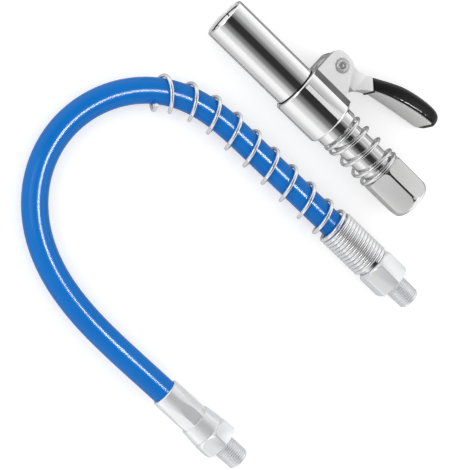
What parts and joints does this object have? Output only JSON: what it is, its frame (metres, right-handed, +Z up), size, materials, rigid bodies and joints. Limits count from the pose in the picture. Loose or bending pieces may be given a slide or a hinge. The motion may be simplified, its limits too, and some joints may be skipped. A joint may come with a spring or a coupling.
{
  "type": "grease coupler with hose",
  "caption": "Lever-release grease coupler with gripping jaws in a sliding sleeve, and a separate flexible grease hose with a guard spring and threaded ends.",
  "frame": {"origin": "centre of the hose port's mouth, in the rear face of the coupler's hexagon nut", "axes": "+X along the coupler's tube axis toward its mouth, +Z up from the table, +Y from the coupler toward the hose; the lever stands out along -Y"},
  "size_m": [0.1604, 0.1682, 0.0219],
  "materials": {
    "chrome_sleeve": "polished",
    "polished_steel": "polished",
    "zinc_steel": "satin",
    "jaw_steel": "satin",
    "spring_steel": "satin",
    "copper_washer": "dull",
    "black_grip": "gloss",
    "seal_rubber": "matte",
    "blue_hose": "gloss"
  },
  "bodies": {
    "coupler_core": {"stem": "polished_steel", "hex_nut": "zinc_steel", "nut_washer": "copper_washer", "jaw_ring": "spring_steel", "main_spring": "spring_steel", "seal_spring": "spring_steel"},
    "sleeve": {"barrel": "chrome_sleeve", "collar": "chrome_sleeve", "rear_bush": "polished_steel", "pivot_pin": "zinc_steel"},
    "lever": {"lever": "zinc_steel", "lever_grip": "black_grip"},
    "seal": {"seal_plunger": "polished_steel", "seal_cup": "seal_rubber", "plunger_oring": "seal_rubber"},
    "ball": {"check_ball": "polished_steel"},
    "hose_assembly": {"hose": "blue_hose", "ferrule_a": "zinc_steel", "fitting_a": "zinc_steel", "guard_spring": "spring_steel", "ferrule_b": "zinc_steel", "fitting_b": "zinc_steel"},
    "jaw_1": {"jaw_1": "jaw_steel"},
    "jaw_2": {"jaw_2": "jaw_steel"},
    "jaw_3": {"jaw_3": "jaw_steel"},
    "jaw_4": {"jaw_4": "jaw_steel"},
    "jaw_5": {"jaw_5": "jaw_steel"},
    "jaw_6": {"jaw_6": "jaw_steel"}
  },
  "joints": [
    {"name": "sleeve_slide", "type": "slide", "parent": "coupler_core", "child": "sleeve", "axis": [-1, 0, 0], "range_m": [0, 0.00334], "stiffness_N_per_m": 6000, "springref_m": -0.01, "deforming": ["main_spring"]},
    {"name": "lever_hinge", "type": "hinge", "parent": "sleeve", "child": "lever", "pos_m": [0.0618, -0.01836, -0.00119], "axis": [0, 0.0645, -0.9979], "range_deg": [0, 16]},
    {"name": "seal_slide", "type": "slide", "parent": "coupler_core", "child": "seal", "axis": [-1, 0, 0], "range_m": [0, 0.002], "stiffness_N_per_m": 600, "springref_m": -0.006, "deforming": ["seal_spring"]},
    {"name": "ball_lift", "type": "slide", "parent": "coupler_core", "child": "ball", "axis": [1, 0, 0], "range_m": [0, 0.001], "stiffness_N_per_m": 600, "springref_m": -0.006},
    {"name": "hose_lift", "type": "slide", "parent": "coupler_core", "child": "hose_assembly", "axis": [0, 0, 1], "range_m": [0, 0.06]},
    {"name": "jaw_1_open", "type": "hinge", "parent": "coupler_core", "child": "jaw_1", "pos_m": [0.085, -0.00457, 0.00306], "axis": [0, -0.5563, -0.831], "range_deg": [0, 1.1]},
    {"name": "jaw_2_open", "type": "hinge", "parent": "coupler_core", "child": "jaw_2", "pos_m": [0.085, 0.00036, 0.00549], "axis": [0, -0.9978, 0.0663], "range_deg": [0, 1.1]},
    {"name": "jaw_3_open", "type": "hinge", "parent": "coupler_core", "child": "jaw_3", "pos_m": [0.085, 0.00494, 0.00243], "axis": [0, -0.4415, 0.8973], "range_deg": [0, 1.1]},
    {"name": "jaw_4_open", "type": "hinge", "parent": "coupler_core", "child": "jaw_4", "pos_m": [0.085, 0.00457, -0.00306], "axis": [0, 0.5563, 0.831], "range_deg": [0, 1.1]},
    {"name": "jaw_5_open", "type": "hinge", "parent": "coupler_core", "child": "jaw_5", "pos_m": [0.085, -0.00036, -0.00549], "axis": [0, 0.9978, -0.0663], "range_deg": [0, 1.1]},
    {"name": "jaw_6_open", "type": "hinge", "parent": "coupler_core", "child": "jaw_6", "pos_m": [0.085, -0.00494, -0.00243], "axis": [0, 0.4415, -0.8973], "range_deg": [0, 1.1]}
  ],
  "couplings": [
    {"joint": "lever_hinge", "follows": "sleeve_slide", "rad_per_m": 83.608},
    {"joint": "jaw_1_open", "follows": "sleeve_slide", "rad_per_m": 5.747},
    {"joint": "jaw_2_open", "follows": "sleeve_slide", "rad_per_m": 5.747},
    {"joint": "jaw_3_open", "follows": "sleeve_slide", "rad_per_m": 5.747},
    {"joint": "jaw_4_open", "follows": "sleeve_slide", "rad_per_m": 5.747},
    {"joint": "jaw_5_open", "follows": "sleeve_slide", "rad_per_m": 5.747},
    {"joint": "jaw_6_open", "follows": "sleeve_slide", "rad_per_m": 5.747}
  ]
}
